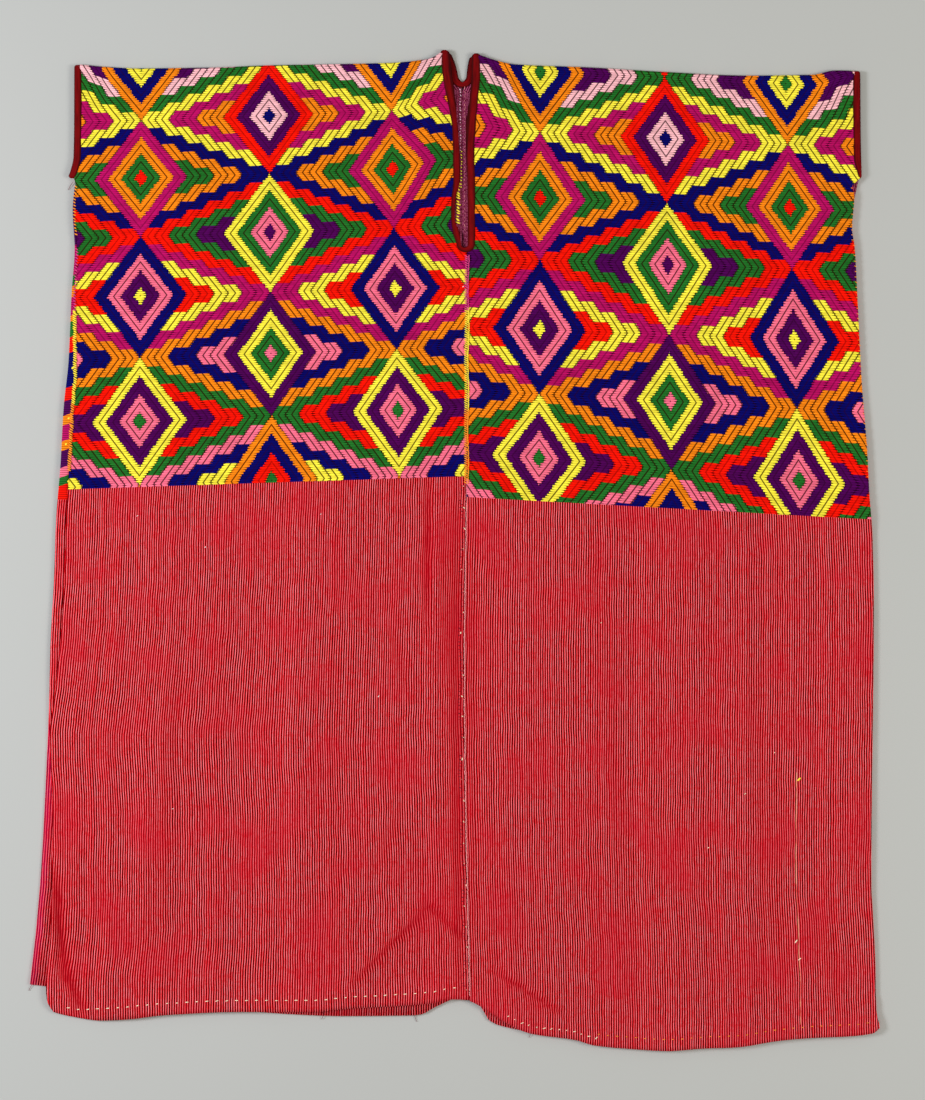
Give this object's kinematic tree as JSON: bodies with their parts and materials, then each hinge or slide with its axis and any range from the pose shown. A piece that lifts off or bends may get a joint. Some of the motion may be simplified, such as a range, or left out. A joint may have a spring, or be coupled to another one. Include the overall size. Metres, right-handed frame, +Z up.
{
  "type": "huipil laid flat",
  "caption": "Sleeveless brocaded loom-woven blouse laid flat: folded panels sewn at centre and sides, ribbon-bound neck slit and armholes, stitched hem.",
  "frame": {"origin": "on the surface that the garment lies on, under the middle of its outline", "axes": "+Z up off the surface, +Y from the hem to the neck, +X to the right as the front is looked at"},
  "size_m": [0.6958, 0.8195, 0.0066],
  "materials": {
    "cloth": "handwoven cotton, plain weave with fine warp stripes below, dense supplementary-weft diamond brocade above",
    "velvet": "narrow dark red velvet ribbon with a soft sheen"
  },
  "bodies": {
    "root": {"left_panel": "cloth", "right_panel": "cloth", "neck_binding": "velvet", "left_armhole_binding": "velvet", "right_armhole_binding": "velvet"}
  },
  "joints": []
}
